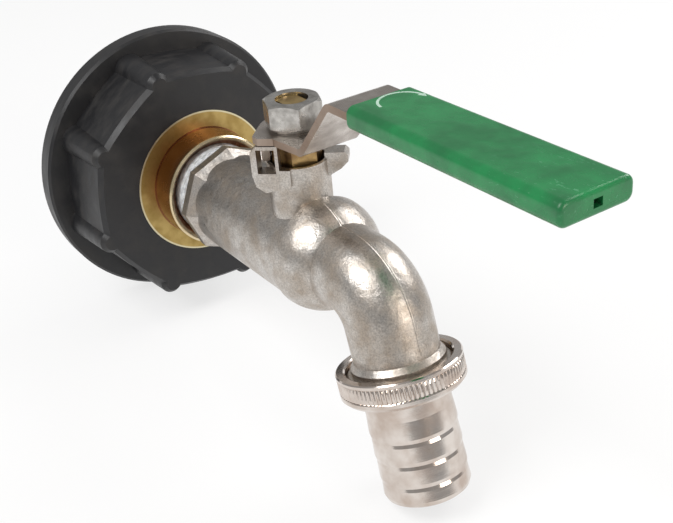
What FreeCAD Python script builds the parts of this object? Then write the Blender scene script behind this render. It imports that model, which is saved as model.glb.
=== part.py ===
import FreeCAD, Part
import math
import os
import Sketcher

# Outlet valve for an intermediate bulk container: a screw cap with a brass insert, a lever ball
# valve and a hose connector. Millimetres. X is the flow axis from the tank, Z the valve stem,
# and the origin is the centre of the cap's open mouth.

SIZES = [
    # screw cap for the S60x6 tank thread
    ("cap_flange_radius", 40.0), ("cap_flange_thick", 6.3), ("cap_depth", 25.8),
    ("cap_corner_radius", 34.3), ("cap_side_bulge", 1.0), ("cap_draft", 4.0), ("cap_sides", 8),
    ("cap_rib_radius", 3.4), ("cap_rib_reach", 36.0), ("cap_edge_round", 1.4), ("cap_edge_slope", 40.0),
    ("cap_cavity_radius", 29.6), ("cap_cavity_depth", 19.0), ("cap_thread_depth", 12.8),
    ("cap_relief", 0.5), ("cap_turn", -6.0),
    ("cap_wall_round", 1.5),
    # flat gasket in the bottom of the cap
    ("gasket_width", 8.6), ("gasket_thick", 3.0),
    # brass insert clamped in the cap's front wall
    ("ring_radius", 21.05), ("ring_thick", 3.3), ("hub_radius", 16.05), ("hub_reach", 9.2),
    ("hub_chamfer", 2.1), ("shank_radius", 15.0), ("shank_end", 13.4), ("insert_bore_radius", 10.4),
    ("nut_flats", 34.0), ("nut_thick", 4.3), ("ring_seal_radius", 18.4), ("ring_seal_section", 1.9),
    # three-quarter inch inlet thread, wrapped in sealing tape
    ("inlet_thread_radius", 12.75), ("inlet_end", 21.0), ("tape_thick", 0.45),
    ("thread_gap", 0.05),
    # octagon and body tube
    ("octagon_start", 40.2), ("octagon_flats", 28.6), ("octagon_thick", 2.6),
    ("octagon_bevel", 3.8), ("bevel_flats", 23.8), ("tube_radius", 13.3),
    ("tube_bore_radius", 10.0),
    # ball housing
    ("stem_place", 80.4), ("dome_radius", 14.7), ("dome_start", 85.0), ("dome_ring", 88.2),
    ("dome_end", 99.4), ("dome_end_radius", 9.6), ("dome_arc", 14.8), ("dome_height", 1.3),
    # elbow and outlet
    ("elbow_height", 1.7), ("elbow_bend", 11.2), ("elbow_radius", 10.7), ("elbow_bore", 7.8),
    ("outlet_place", 117.5), ("outlet_drop", 16.0), ("outlet_tilt", 16.0),
    ("bead_radius", 11.7), ("bead_width", 1.4), ("outlet_thread_radius", 13.1),
    ("outlet_thread_start", 1.1), ("outlet_thread_length", 2.7),
    # ball and its seats
    ("ball_radius", 9.7), ("ball_bore", 6.2), ("seat_contact", 7.2), ("seat_thick", 3.0),
    ("seat_gap", 0.05), ("seat_bore", 6.5), ("seat_side_gap", 0.1), ("slot_width", 4.2),
    ("slot_depth", 3.0), ("retainer_thick", 5.0), ("retainer_flats", 12.0),
    # neck around the stem
    ("neck_radius", 7.8), ("neck_top", 24.8), ("cup_radius", 6.9), ("cup_floor", 20.4),
    ("gland_thread_radius", 5.3), ("packing_floor", 16.0), ("packing_thick", 2.0),
    ("collar_chamber", 6.0), ("collar_top", 12.0), ("washer_thick", 0.6),
    # stem
    ("stem_radius", 4.0), ("stem_gap", 0.1), ("stem_flats", 5.6), ("stem_top", 39.2),
    ("collar_radius", 5.8), ("collar_bottom", 10.0), ("tang_length", 9.0), ("tang_gap", 0.1),
    ("seal_groove_depth", 0.8), ("seal_groove_width", 1.1), ("seal_low", 13.6),
    ("seal_pitch", 1.7),
    # gland nut
    ("gland_flats", 11.0), ("gland_top", 30.2), ("gland_hex_gap", 0.4),
    # ears on the neck: a padlock eye and a plain stop
    ("eye_turn", 225.0), ("eye_face", 8.8), ("eye_thick", 4.2), ("eye_side", 9.4),
    ("eye_post", 1.5), ("eye_inner", 3.4), ("eye_low", 24.0), ("eye_bar", 0.9),
    ("eye_cover_gap", 0.2), ("eye_root", 0.8),
    ("eye_foot", 19.0), ("eye_corner", 1.6), ("eye_slope", 1.5),
    ("stop_turn", 50.0), ("stop_reach", 12.6), ("stop_half", 2.3), ("stop_top", 26.4),
    ("stop_bottom", 22.2), ("stop_round", 1.8),
    # lever
    ("lever_thick", 1.8), ("lever_low", 31.2), ("head_radius", 8.7), ("head_tip_round", 1.5),
    ("apron_low", 25.3), ("apron_gap", 1.5), ("ramp_start", 13.8), ("ramp_end", 27.6),
    ("lever_high", 46.4), ("lever_half", 8.5), ("ramp_half", 8.0), ("waist_half", 7.5),
    ("waist_place", 12.5), ("waist_from", 4.5),
    ("bend_inside", 1.8), ("lever_end", 95.5), ("grip_half", 7.6), ("lever_hole_gap", 0.1),
    # washer and nut on top
    ("spring_washer_radius", 6.2), ("spring_washer_thick", 0.7), ("top_nut_flats", 13.0),
    ("top_nut_height", 6.1),
    # sleeve on the lever
    ("sleeve_start", 36.9), ("sleeve_end", 98.6), ("sleeve_half", 8.9), ("sleeve_wall", 1.75),
    ("sleeve_round", 1.9), ("sleeve_end_round", 1.0), ("sleeve_slot", 2.2),
    # hose connector
    ("hose_nut_radius", 15.6), ("hose_nut_opening", 13.6),
    ("hose_nut_lip", 0.9), ("hose_nut_hole", 11.3), ("hose_nut_chamfer", 0.8),
    ("hose_nut_rim", 1.1), ("rim_step", 0.35), ("nut_thread_gap", 0.1),
    ("hose_gasket_thick", 1.2), ("tail_flange_thick", 0.8), ("tail_radius", 11.0),
    ("tail_bore", 8.4), ("tail_end", 34.6), ("tail_first_barb", 17.7), ("tail_pitch", 5.85),
    ("tail_barbs", 3), ("barb_depth", 0.45), ("tail_neck_radius", 10.7), ("tail_side_gap", 0.3),
]

doc = FreeCAD.newDocument("tank_valve")
dim = doc.addObject("Spreadsheet::Sheet", "dim")
for row, (alias, value) in enumerate(SIZES, 1):
    dim.set(f"A{row}", alias)
    dim.set(f"B{row}", str(value))
    dim.setAlias(f"B{row}", alias)
doc.recompute()
parts = []


def num(text):
    result = dim.evalExpression(text)
    return float(getattr(result, "Value", result))


def new_body(name):
    body = doc.addObject("PartDesign::Body", name)
    body.Label = name
    parts.append(body)
    return body


def sketch_on(body, role, shift=("0", "0", "0"), turn=None, about=(0, 0, 1)):
    """A sketch on one of the body's origin planes, shifted and turned in the plane's own frame."""
    sketch = body.newObject("Sketcher::SketchObject", body.Name + "_sketch")
    plane = [item for item in body.Origin.OriginFeatures if item.Role == role][0]
    sketch.AttachmentSupport = [(plane, "")]
    sketch.MapMode = "FlatFace"
    sketch.AttachmentOffset = FreeCAD.Placement(FreeCAD.Vector(), FreeCAD.Rotation(FreeCAD.Vector(*about), 1))
    for axis, text in zip("xyz", shift):
        sketch.setExpression(f"AttachmentOffset.Base.{axis}", text)
    sketch.setExpression("AttachmentOffset.Rotation.Angle", turn or "0")
    return sketch


def drive(sketch, kind, curve, end, text):
    ends = (-1, 1, curve, end) if kind != "Radius" else (curve,)
    index = sketch.addConstraint(Sketcher.Constraint(kind, *ends, num(text)))
    sketch.setExpression(f"Constraints[{index}]", text)


def place(sketch, curve, end, across, up):
    drive(sketch, "DistanceX", curve, end, across)
    drive(sketch, "DistanceY", curve, end, up)


def outline(sketch, corners):
    """A closed outline. A corner is (across, up); a third entry makes the next side an arc of
    that radius, bulging to the right of the way the outline runs, or to the left if a fourth
    entry is given."""
    spots = [FreeCAD.Vector(num(item[0]), num(item[1]), 0) for item in corners]
    count = len(spots)
    first = sketch.GeometryCount
    for i, item in enumerate(corners):
        start, end = spots[i], spots[(i + 1) % count]
        if len(item) == 2:
            sketch.addGeometry(Part.LineSegment(start, end), False)
            continue
        side = 1 if len(item) == 3 else -1
        chord = end - start
        radius = num(item[2])
        reach = math.sqrt(radius ** 2 - chord.Length ** 2 / 4)
        right = FreeCAD.Vector(chord.y, -chord.x, 0).normalize() * side
        centre = (start + end) / 2 - right * reach
        crown = centre + right * radius
        sketch.addGeometry(Part.Arc(start, crown, end), False)
    for i in range(count):
        curve, following = first + i, first + (i + 1) % count
        meeting = spots[(i + 1) % count]
        ends = (curve, end_at(sketch, curve, meeting), following, end_at(sketch, following, meeting))
        sketch.addConstraint(Sketcher.Constraint("Coincident", *ends))
    for i, item in enumerate(corners):
        place(sketch, first + i, end_at(sketch, first + i, spots[i]), item[0], item[1])
        if len(item) > 2:
            drive(sketch, "Radius", first + i, 0, item[2])


def end_at(sketch, curve, spot):
    """Which end of a curve, 1 or 2, lies on a spot."""
    return 1 if sketch.getPoint(curve, 1).distanceToPoint(spot) < 1e-6 else 2


def circle(sketch, across, up, radius):
    middle = FreeCAD.Vector(num(across), num(up), 0)
    curve = sketch.addGeometry(Part.Circle(middle, FreeCAD.Vector(0, 0, 1), num(radius)), False)
    place(sketch, curve, 3, across, up)
    drive(sketch, "Radius", curve, 0, radius)


def polygon(sketch, sides, flats, phase):
    corner = f"({flats}) / 2 / cos(180 deg / {sides})"
    outline(sketch, [(f"{corner} * cos({phase + 360 / sides * k} deg)",
                      f"{corner} * sin({phase + 360 / sides * k} deg)") for k in range(sides)])


def revolve(body, sketch, axis="V_Axis", cut=False, angle="360", both=False, back=False):
    kind = "PartDesign::Groove" if cut else "PartDesign::Revolution"
    feature = body.newObject(kind, body.Name + ("_groove" if cut else "_turn"))
    feature.Profile = sketch
    feature.ReferenceAxis = (sketch, [axis])
    feature.setExpression("Angle", angle)
    feature.Midplane = both
    feature.Reversed = back
    return finish(feature)


def pad(body, sketch, length, cut=False, both=False, back=False, draft=None, through=False):
    kind = "PartDesign::Pocket" if cut else "PartDesign::Pad"
    feature = body.newObject(kind, body.Name + ("_pocket" if cut else "_pad"))
    feature.Profile = sketch
    if through:
        feature.Type = "ThroughAll"
    else:
        feature.setExpression("Length", length)
    feature.Midplane = both
    feature.Reversed = back
    if draft:
        feature.setExpression("TaperAngle", draft)
    return finish(feature)


def repeat(body, feature, sketch, count, angle=360):
    pattern = body.newObject("PartDesign::PolarPattern", body.Name + "_pattern")
    pattern.Originals = [feature]
    pattern.Axis = (sketch, ["N_Axis"])
    pattern.Angle = angle
    pattern.setExpression("Occurrences", count)
    body.Tip = pattern
    return finish(pattern)


def round_edges(body, feature, chosen, radius, chamfer=False):
    kind = "PartDesign::Chamfer" if chamfer else "PartDesign::Fillet"
    names = [f"Edge{i}" for i, edge in enumerate(feature.Shape.Edges, 1) if chosen(edge)]
    if not names:
        raise RuntimeError(body.Name + ": no edge to round")
    item = body.newObject(kind, body.Name + "_round")
    item.Base = (feature, names)
    item.setExpression("Size" if chamfer else "Radius", radius)
    return finish(item)


def finish(feature):
    doc.recompute()
    if "Invalid" in feature.State or "Error" in feature.State or not feature.Shape.isValid():
        raise RuntimeError(f"{feature.Name} failed: {feature.State}")
    return feature


def middle_of(edge):
    return edge.valueAt((edge.FirstParameter + edge.LastParameter) / 2)


def is_near(value, target, within=0.01):
    return abs(value - target) < within


def ring(name, place_text, inner, outer, length):
    """A plain washer-like ring about X, from place_text on."""
    body = new_body(name)
    sketch = sketch_on(body, "XY_Plane")
    start = place_text
    stop = f"{place_text} + {length}"
    outline(sketch, [(start, inner), (stop, inner), (stop, outer), (start, outer)])
    revolve(body, sketch, "H_Axis")
    return body


def make_cap():
    body = new_body("tank_cap")
    flange = sketch_on(body, "XY_Plane")
    outline(flange, [("0", "0"), ("0", "dim.cap_flange_radius - dim.cap_edge_round / 2"),
                     ("dim.cap_edge_round / 2", "dim.cap_flange_radius"),
                     ("dim.cap_flange_thick - dim.cap_edge_round / 2", "dim.cap_flange_radius"),
                     ("dim.cap_flange_thick", "dim.cap_flange_radius - dim.cap_edge_round / 2"),
                     ("dim.cap_flange_thick", "0")])
    revolve(body, flange, "H_Axis")
    sides = int(num("dim.cap_sides"))
    step = 360 / sides
    half_chord = "(dim.cap_corner_radius * sin(180 deg / dim.cap_sides))"
    bulge = f"(({half_chord} ^ 2 + dim.cap_side_bulge ^ 2) / 2 / dim.cap_side_bulge)"
    edge_place = "dim.cap_depth - dim.cap_edge_round"
    back_length = f"{edge_place} - dim.cap_flange_thick"
    # the grip and its ribs widen towards the flange, and a steep last stretch rounds the front edge
    stretches = ((back_length, "dim.cap_draft", True), ("dim.cap_edge_round", "-dim.cap_edge_slope", False))
    for length, draft, back in stretches:
        grip = sketch_on(body, "YZ_Plane", ("0", "0", edge_place), "dim.cap_turn * 1 deg")
        outline(grip, [(f"dim.cap_corner_radius * cos({step * (k + 0.5)} deg)",
                        f"dim.cap_corner_radius * sin({step * (k + 0.5)} deg)", bulge) for k in range(sides)])
        pad(body, grip, length, back=back, draft=draft)
        rib = sketch_on(body, "YZ_Plane", ("0", "0", edge_place), f"{step / 2} deg + dim.cap_turn * 1 deg")
        circle(rib, "dim.cap_rib_reach - dim.cap_rib_radius", "0", "dim.cap_rib_radius")
        bump = pad(body, rib, length, back=back, draft=draft)
        repeat(body, bump, rib, "dim.cap_sides")
    cavity = sketch_on(body, "XY_Plane")
    relief = "dim.cap_cavity_radius + dim.cap_relief"
    outline(cavity, [("-1", "0"), ("-1", "dim.cap_cavity_radius"),
                     ("dim.cap_thread_depth", "dim.cap_cavity_radius"),
                     ("dim.cap_thread_depth + dim.cap_relief", relief),
                     ("dim.cap_cavity_depth - dim.cap_wall_round", relief),
                     ("dim.cap_cavity_depth", "dim.cap_cavity_radius - dim.cap_wall_round"),
                     ("dim.cap_cavity_depth", "0")])
    revolve(body, cavity, "H_Axis", cut=True)
    hole = sketch_on(body, "XY_Plane")
    seat = "dim.cap_depth - dim.ring_thick"
    outline(hole, [("dim.cap_cavity_depth - 1", "0"),
                   ("dim.cap_cavity_depth - 1", "dim.shank_radius + dim.thread_gap"),
                   (seat, "dim.shank_radius + dim.thread_gap"), (seat, "dim.ring_radius + dim.thread_gap"),
                   ("dim.cap_depth + 1", "dim.ring_radius + dim.thread_gap"), ("dim.cap_depth + 1", "0")])
    revolve(body, hole, "H_Axis", cut=True)


def make_insert():
    body = new_body("cap_insert")
    seat = "dim.cap_depth - dim.ring_thick"
    end = "dim.cap_depth + dim.hub_reach"
    bore = "dim.inlet_thread_radius + dim.tape_thick + 2 * dim.thread_gap"
    sketch = sketch_on(body, "XY_Plane")
    outline(sketch, [("dim.shank_end", "dim.insert_bore_radius"), ("dim.shank_end", "dim.shank_radius - 0.6"),
                     ("dim.shank_end + 0.6", "dim.shank_radius"), (seat, "dim.shank_radius"),
                     (seat, "dim.ring_radius"), ("dim.cap_depth", "dim.ring_radius"),
                     ("dim.cap_depth", "dim.hub_radius"), (end + " - 0.4", "dim.hub_radius"),
                     (end, "dim.hub_radius - 0.4"), (end, f"{bore} + dim.hub_chamfer"),
                     (f"{end} - dim.hub_chamfer", bore), ("dim.inlet_end - 0.5", bore),
                     ("dim.inlet_end - 0.5", "dim.insert_bore_radius")])
    revolve(body, sketch, "H_Axis")
    groove = sketch_on(body, "XY_Plane")
    low = "dim.ring_seal_radius - dim.ring_seal_section / 2 - 0.15"
    high = "dim.ring_seal_radius + dim.ring_seal_section / 2 + 0.15"
    deep = f"{seat} + dim.ring_seal_section"
    outline(groove, [(seat, low), (deep, low), (deep, high), (seat, high)])
    revolve(body, groove, "H_Axis", cut=True)


def torus(name, radius, section, x_text, z_text="0", lying=False):
    item = doc.addObject("Part::Torus", name)
    item.setExpression("Radius1", radius)
    item.setExpression("Radius2", section)
    axis = FreeCAD.Rotation() if lying else FreeCAD.Rotation(FreeCAD.Vector(0, 1, 0), 90)
    item.Placement = FreeCAD.Placement(FreeCAD.Vector(), axis)
    item.setExpression("Placement.Base.x", x_text)
    item.setExpression("Placement.Base.z", z_text)
    item.Label = name
    return item


def make_lock_nut():
    body = new_body("insert_lock_nut")
    start = "dim.cap_cavity_depth - dim.nut_thick"
    hexagon = sketch_on(body, "YZ_Plane", ("0", "0", start))
    polygon(hexagon, 6, "dim.nut_flats", 30)
    pad(body, hexagon, "dim.nut_thick")
    hole = sketch_on(body, "YZ_Plane", ("0", "0", start))
    circle(hole, "0", "0", "dim.shank_radius + dim.thread_gap")
    pad(body, hole, "dim.nut_thick", cut=True, through=True, both=True)
    trim_hex(body, "dim.nut_flats", start, "dim.cap_cavity_depth", "XY_Plane", "H_Axis", "low")


def trim_hex(body, flats, low, high, plane, axis, ends):
    """Turned 30 degree chamfers on the corners of a hexagon, at one or both of its ends."""
    corner = f"({flats}) / 2 / cos(30 deg)"
    far = f"({corner} + 1)"
    drop_far = f"({corner} + 1 - ({flats}) / 2) * tan(30 deg)"
    triangles = []
    if ends in ("low", "both"):
        triangles.append([(low, f"({flats}) / 2"), (f"{low} + {drop_far}", far), (f"{low} - 1", far),
                          (f"{low} - 1", f"({flats}) / 2")])
    if ends in ("high", "both"):
        triangles.append([(high, f"({flats}) / 2"), (f"{high} - {drop_far}", far), (f"{high} + 1", far),
                          (f"{high} + 1", f"({flats}) / 2")])
    for corners in triangles:
        sketch = sketch_on(body, plane)
        if axis == "V_Axis":
            corners = [(up, across) for across, up in corners]
        outline(sketch, corners)
        revolve(body, sketch, axis, cut=True)


def make_body():
    body = new_body("valve_body")
    shell = sketch_on(body, "XY_Plane")
    outline(shell, [("dim.inlet_end", "0"), ("dim.inlet_end", "dim.inlet_thread_radius - 1"),
                    ("dim.inlet_end + 1", "dim.inlet_thread_radius"),
                    ("dim.octagon_start + 1", "dim.inlet_thread_radius"),
                    ("dim.octagon_start + 1", "dim.tube_radius"),
                    ("dim.dome_ring", "dim.tube_radius"), ("dim.dome_ring", "0")])
    revolve(body, shell, "H_Axis")
    dome = sketch_on(body, "XY_Plane", ("0", "0", "dim.dome_height"))
    outline(dome, [("dim.dome_start", "0"), ("dim.dome_start", "dim.tube_radius - dim.dome_height"),
                   ("dim.dome_ring", "dim.dome_radius", "dim.dome_arc", "left"),
                   ("dim.dome_end", "dim.dome_end_radius"), ("dim.dome_end", "0")])
    revolve(body, dome, "H_Axis")
    octagon = sketch_on(body, "YZ_Plane", ("0", "0", "dim.octagon_start"))
    polygon(octagon, 8, "dim.octagon_flats", 0)
    pad(body, octagon, "dim.octagon_thick")
    bevel = sketch_on(body, "YZ_Plane", ("0", "0", "dim.octagon_start + dim.octagon_thick"))
    polygon(bevel, 8, "dim.octagon_flats", 0)
    slope = "-atan((dim.octagon_flats - dim.bevel_flats) / 2 / dim.octagon_bevel)"
    pad(body, bevel, "dim.octagon_bevel", draft=slope)
    # elbow: a straight lead, a quarter-like bend and the straight outlet
    lead = sketch_on(body, "YZ_Plane", ("0", "0", "dim.dome_ring"))
    circle(lead, "0", "dim.elbow_height", "dim.elbow_radius")
    tangent = "dim.elbow_bend * tan((90 deg - dim.outlet_tilt * 1 deg) / 2)"
    corner = "dim.outlet_place - (dim.outlet_drop + dim.elbow_height) * tan(dim.outlet_tilt * 1 deg)"
    bend_start = f"({corner} - {tangent})"
    pad(body, lead, f"{bend_start} - dim.dome_ring")
    turn = sketch_on(body, "YZ_Plane", ("0", "0", bend_start))
    circle(turn, "0", "dim.elbow_height", "dim.elbow_radius")
    hinge = turn.addGeometry(Part.LineSegment(FreeCAD.Vector(-5, -10, 0), FreeCAD.Vector(5, -10, 0)), True)
    place(turn, hinge, 1, "-5", "dim.elbow_height - dim.elbow_bend")
    place(turn, hinge, 2, "5", "dim.elbow_height - dim.elbow_bend")
    sweep = "90 - dim.outlet_tilt"
    revolve(body, turn, "Axis0", angle=sweep)
    stack = ("dim.outlet_place", "-dim.outlet_drop", "0")
    tilt = "180 + dim.outlet_tilt"
    back_to_bend = (f"((dim.outlet_drop + dim.elbow_height) / cos(dim.outlet_tilt * 1 deg) - {tangent})")
    spout = sketch_on(body, "XZ_Plane", stack, tilt)
    thread_end = "dim.outlet_thread_start + dim.outlet_thread_length"
    outline(spout, [("0", f"-{back_to_bend}"), ("dim.elbow_radius", f"-{back_to_bend}"),
                    ("dim.elbow_radius", "dim.outlet_thread_start - 2 * dim.bead_width"),
                    ("dim.bead_radius", "dim.outlet_thread_start - dim.bead_width"),
                    ("dim.bead_radius", "dim.outlet_thread_start"),
                    ("dim.outlet_thread_radius - 0.6", "dim.outlet_thread_start"),
                    ("dim.outlet_thread_radius", "dim.outlet_thread_start + 0.6"),
                    ("dim.outlet_thread_radius", f"{thread_end} - 0.5"),
                    ("dim.outlet_thread_radius - 0.5", thread_end), ("0", thread_end)])
    revolve(body, spout, "V_Axis")
    # neck and ears
    neck = sketch_on(body, "XY_Plane")
    circle(neck, "dim.stem_place", "0", "dim.neck_radius")
    pad(body, neck, "dim.neck_top")
    face = "(dim.eye_face - dim.eye_thick / 2)"
    aside = (f"dim.stem_place - {face} * sin(dim.eye_turn * 1 deg)", "0",
             f"-{face} * cos(dim.eye_turn * 1 deg)")
    eye = sketch_on(body, "XZ_Plane", aside, "dim.eye_turn * 1 deg", (0, 1, 0))
    eye_top = "dim.lever_low - dim.eye_cover_gap"
    outline(eye, [("0", "dim.eye_foot + dim.eye_slope"),
                  ("dim.eye_side - dim.eye_post - dim.eye_slope", "dim.eye_foot"),
                  ("dim.eye_side - dim.eye_slope / 2", "dim.eye_foot + dim.eye_slope"),
                  ("dim.eye_side", "dim.eye_low - dim.eye_slope / 3"),
                  ("dim.eye_side", f"{eye_top} - dim.eye_corner"),
                  ("dim.eye_side - dim.eye_corner", eye_top), ("dim.eye_inner - dim.eye_root", eye_top),
                  ("dim.eye_inner - dim.eye_root", "dim.neck_top"), ("0", "dim.neck_top")])
    outline(eye, [("dim.eye_inner", "dim.eye_low"), ("dim.eye_side - dim.eye_post", "dim.eye_low"),
                  ("dim.eye_side - dim.eye_post", f"{eye_top} - dim.eye_bar"),
                  ("dim.eye_inner", f"{eye_top} - dim.eye_bar")])
    pad(body, eye, "dim.eye_thick", both=True)
    stop = sketch_on(body, "XZ_Plane", ("dim.stem_place", "0", "0"), "dim.stop_turn * 1 deg", (0, 1, 0))
    inner = "dim.cup_radius"
    outline(stop, [(inner, "dim.stop_bottom - dim.stop_round"),
                   ("dim.neck_radius", "dim.stop_bottom - dim.stop_round"),
                   ("dim.stop_reach - dim.stop_round", "dim.stop_bottom"),
                   ("dim.stop_reach", "dim.stop_bottom + dim.stop_round"),
                   ("dim.stop_reach", "dim.stop_top - dim.stop_round / 2"),
                   ("dim.stop_reach - dim.stop_round / 2", "dim.stop_top"), (inner, "dim.stop_top")])
    pad(body, stop, "2 * dim.stop_half", both=True)
    # passages
    bore = sketch_on(body, "XY_Plane")
    seat_end = "2 * dim.stem_place - " + seat_back()
    outline(bore, [("dim.inlet_end - 1", "0"), ("dim.inlet_end - 1", "dim.tube_bore_radius"),
                   (seat_end, "dim.tube_bore_radius"), (seat_end, "dim.seat_bore"),
                   (f"{seat_end} + 1.5", "dim.seat_bore"), (f"{seat_end} + 1.5", "0")])
    revolve(body, bore, "H_Axis", cut=True)
    lead_bore = sketch_on(body, "YZ_Plane", ("0", "0", f"{seat_end} + 1"))
    circle(lead_bore, "0", "dim.elbow_height", "dim.elbow_bore")
    pad(body, lead_bore, f"{bend_start} - ({seat_end} + 1)", cut=True, back=True)
    turn_bore = sketch_on(body, "YZ_Plane", ("0", "0", bend_start))
    circle(turn_bore, "0", "dim.elbow_height", "dim.elbow_bore")
    hinge = turn_bore.addGeometry(Part.LineSegment(FreeCAD.Vector(-5, -10, 0), FreeCAD.Vector(5, -10, 0)), True)
    place(turn_bore, hinge, 1, "-5", "dim.elbow_height - dim.elbow_bend")
    place(turn_bore, hinge, 2, "5", "dim.elbow_height - dim.elbow_bend")
    revolve(body, turn_bore, "Axis0", cut=True, angle=sweep)
    spout_bore = sketch_on(body, "XZ_Plane", stack, tilt)
    outline(spout_bore, [("0", f"-{back_to_bend}"), ("dim.elbow_bore", f"-{back_to_bend}"),
                         ("dim.elbow_bore", f"{thread_end} + 1"), ("0", f"{thread_end} + 1")])
    revolve(body, spout_bore, "V_Axis", cut=True)
    well = sketch_on(body, "XZ_Plane", ("dim.stem_place", "0", "0"))
    outline(well, [("0", "0"), ("dim.collar_chamber", "0"),
                   ("dim.collar_chamber", "dim.collar_top + dim.washer_thick"),
                   ("dim.stem_radius + dim.stem_gap", "dim.collar_top + dim.washer_thick"),
                   ("dim.stem_radius + dim.stem_gap", "dim.packing_floor"),
                   ("dim.gland_thread_radius", "dim.packing_floor"),
                   ("dim.gland_thread_radius", "dim.cup_floor"), ("dim.cup_radius", "dim.cup_floor"),
                   ("dim.cup_radius", "dim.lever_low"), ("0", "dim.lever_low")])
    revolve(body, well, "V_Axis", cut=True)


def seat_touch():
    return "(dim.stem_place - sqrt(dim.ball_radius ^ 2 - dim.seat_contact ^ 2) - dim.seat_gap)"


def seat_back():
    return f"({seat_touch()} - dim.seat_thick)"


def make_seats():
    slope = "(dim.seat_contact / sqrt(dim.ball_radius ^ 2 - dim.seat_contact ^ 2))"
    outer = "dim.tube_bore_radius - dim.seat_side_gap"
    rim = "(dim.seat_contact + 1.2)"
    for name, mirror in (("inlet_seat", False), ("outlet_seat", True)):
        body = new_body(name)
        face_in = f"{seat_touch()} + {slope} * (dim.seat_bore - dim.seat_contact)"
        face_out = f"{seat_touch()} + {slope} * ({rim} - dim.seat_contact)"
        corners = [(seat_back(), "dim.seat_bore"), (face_in, "dim.seat_bore"), (face_out, rim),
                   (face_out, outer), (seat_back(), outer)]
        if mirror:
            corners = [(f"2 * dim.stem_place - ({across})", up) for across, up in corners]
        sketch = sketch_on(body, "XY_Plane")
        outline(sketch, corners)
        revolve(body, sketch, "H_Axis")


def make_retainer():
    body = ring("seat_retainer", f"{seat_back()} - dim.retainer_thick", "dim.seat_bore - 1.5",
                "dim.tube_bore_radius - dim.thread_gap", "dim.retainer_thick")
    drive_hole = sketch_on(body, "YZ_Plane", ("0", "0", f"{seat_back()} - dim.retainer_thick"))
    polygon(drive_hole, 6, "dim.retainer_flats", 0)
    pad(body, drive_hole, "1", cut=True, both=True, through=True)


def make_ball():
    body = new_body("ball")
    body.setExpression("Placement.Base.x", "dim.stem_place")
    sphere = body.newObject("PartDesign::AdditiveSphere", "ball_sphere")
    sphere.setExpression("Radius", "dim.ball_radius")
    finish(sphere)
    bore = sketch_on(body, "YZ_Plane")
    circle(bore, "0", "0", "dim.ball_bore")
    pad(body, bore, "1", cut=True, both=True, through=True)
    slot = sketch_on(body, "XZ_Plane")
    outline(slot, [("-dim.slot_width / 2", "dim.ball_radius - dim.slot_depth"),
                   ("dim.slot_width / 2", "dim.ball_radius - dim.slot_depth"),
                   ("dim.slot_width / 2", "dim.ball_radius + 1"),
                   ("-dim.slot_width / 2", "dim.ball_radius + 1")])
    pad(body, slot, "1", cut=True, both=True, through=True)


def make_stem():
    body = new_body("stem")
    body.setExpression("Placement.Base.x", "dim.stem_place")
    tang_low = "dim.ball_radius - dim.slot_depth + dim.tang_gap"
    depth = "dim.seal_groove_depth"
    corners = [("0", tang_low), ("dim.tang_length / 2", tang_low),
               ("dim.tang_length / 2", "dim.collar_bottom"),
               ("dim.collar_radius", "dim.collar_bottom"), ("dim.collar_radius", "dim.collar_top"),
               ("dim.stem_radius", "dim.collar_top")]
    for k in range(2):
        low = f"dim.seal_low + {k} * dim.seal_pitch - dim.seal_groove_width / 2"
        high = f"dim.seal_low + {k} * dim.seal_pitch + dim.seal_groove_width / 2"
        corners += [("dim.stem_radius", low), (f"dim.stem_radius - {depth}", low),
                    (f"dim.stem_radius - {depth}", high), ("dim.stem_radius", high)]
    corners += [("dim.stem_radius", "dim.stem_top - 0.5"), ("dim.stem_radius - 0.5", "dim.stem_top"),
                ("0", "dim.stem_top")]
    shaft = sketch_on(body, "XZ_Plane")
    outline(shaft, corners)
    revolve(body, shaft, "V_Axis")
    for side in (-1, 1):
        flat = sketch_on(body, "XY_Plane", ("0", "0", "dim.lever_low"))
        near, far = f"{side} * dim.stem_flats / 2", f"{side} * (dim.stem_radius + 1)"
        outline(flat, [("-dim.stem_radius - 1", near), ("dim.stem_radius + 1", near),
                       ("dim.stem_radius + 1", far), ("-dim.stem_radius - 1", far)])
        pad(body, flat, "dim.stem_top - dim.lever_low + 1", cut=True, back=True)
        cheek = sketch_on(body, "XY_Plane", ("0", "0", tang_low + " - 1"))
        near, far = f"{side} * (dim.slot_width / 2 - dim.tang_gap)", f"{side} * dim.collar_radius"
        outline(cheek, [(near, "-dim.collar_radius"), (far, "-dim.collar_radius"),
                        (far, "dim.collar_radius"), (near, "dim.collar_radius")])
        pad(body, cheek, f"dim.collar_bottom - ({tang_low} - 1)", cut=True, back=True)


def stem_ring(name, inner, outer, low, high):
    body = new_body(name)
    body.setExpression("Placement.Base.x", "dim.stem_place")
    sketch = sketch_on(body, "XZ_Plane")
    outline(sketch, [(inner, low), (outer, low), (outer, high), (inner, high)])
    revolve(body, sketch, "V_Axis")
    return body


def make_gland_nut():
    body = stem_ring("gland_nut", "dim.stem_radius + dim.stem_gap",
                     "dim.gland_thread_radius - dim.thread_gap",
                     "dim.packing_floor + dim.packing_thick",
                     "dim.cup_floor + dim.gland_hex_gap + dim.thread_gap")
    head = sketch_on(body, "XY_Plane", ("0", "0", "dim.cup_floor + dim.gland_hex_gap"))
    polygon(head, 6, "dim.gland_flats", 16)
    circle(head, "0", "0", "dim.stem_radius + dim.stem_gap")
    pad(body, head, "dim.gland_top - dim.cup_floor - dim.gland_hex_gap")
    trim_hex(body, "dim.gland_flats", "dim.cup_floor", "dim.gland_top", "XZ_Plane", "V_Axis", "high")


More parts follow.
